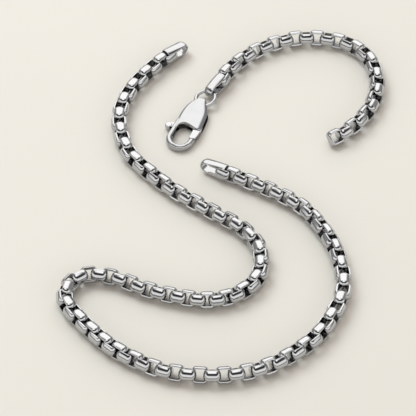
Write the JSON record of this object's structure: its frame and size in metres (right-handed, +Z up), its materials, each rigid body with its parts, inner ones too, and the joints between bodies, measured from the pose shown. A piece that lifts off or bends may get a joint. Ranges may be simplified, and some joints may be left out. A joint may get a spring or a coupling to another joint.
{
  "type": "box chain",
  "caption": "Rounded box chain in two lengths laid on a surface, with end caps, a jump ring and a lobster clasp whose sprung lever opens.",
  "frame": {"origin": "on the surface that the chain lies on, under the middle of the whole", "axes": "+Z up from the surface, +Y away from the picture's viewer, +X to that viewer's right"},
  "size_m": [0.0972, 0.1382, 0.005],
  "materials": {
    "polished_steel": "polished",
    "bright_steel": "polished"
  },
  "bodies": {
    "chain_and_clasp": {"main_chain": "polished_steel", "clasp_chain": "polished_steel", "outer_cap": "bright_steel", "inner_cap": "bright_steel", "ring_cap": "bright_steel", "jump_ring": "bright_steel", "clasp_body": "polished_steel", "clasp_pin": "bright_steel"},
    "lever": {"clasp_lever": "bright_steel"}
  },
  "joints": [
    {"name": "lever_hinge", "type": "hinge", "parent": "chain_and_clasp", "child": "lever", "pos_m": [-0.00896, 0.03064, 0.00133], "axis": [0, 0, -1], "range_deg": [0, 25], "stiffness_Nm_per_rad": 0.004, "springref_deg": -5.73}
  ]
}
